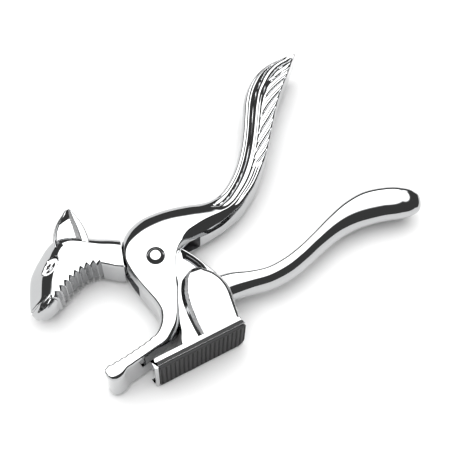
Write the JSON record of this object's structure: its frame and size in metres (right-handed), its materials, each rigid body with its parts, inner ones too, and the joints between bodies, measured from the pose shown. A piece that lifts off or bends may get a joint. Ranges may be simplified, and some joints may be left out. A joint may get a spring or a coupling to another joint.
{
  "type": "nutcracker",
  "caption": "Lever nutcracker shaped as a leaping squirrel: the tail and handle squeeze, and the jaws between head and front leg crack the nut.",
  "frame": {"origin": "middle of the object's box, on the surface that it lies on", "axes": "+Z along the hinge axis, +X along the sole from toe to handle, +Y from the sole to the tail"},
  "size_m": [0.199, 0.1248, 0.029],
  "materials": {
    "chrome": "mirror polished chrome on cast zinc",
    "rubber": "matte black ribbed rubber",
    "rivet": "polished domed rivet",
    "steel": "drawn spring steel"
  },
  "bodies": {
    "head_side": {"head_lever": "chrome", "foot_sole": "rubber", "torsion_spring": "steel"},
    "tail_side": {"tail_lever": "chrome", "pivot_rivet": "rivet", "rivet_collar": "rivet", "washer_front": "steel", "washer_back": "steel"}
  },
  "joints": [
    {"name": "hinge", "type": "hinge", "parent": "head_side", "child": "tail_side", "pos_m": [-0.0351, -0.01006, 0.0145], "axis": [0, 0, -1], "range_deg": [0, 32], "stiffness_Nm_per_rad": 0.25, "springref_deg": -20.05, "deforming": ["torsion_spring"]}
  ]
}
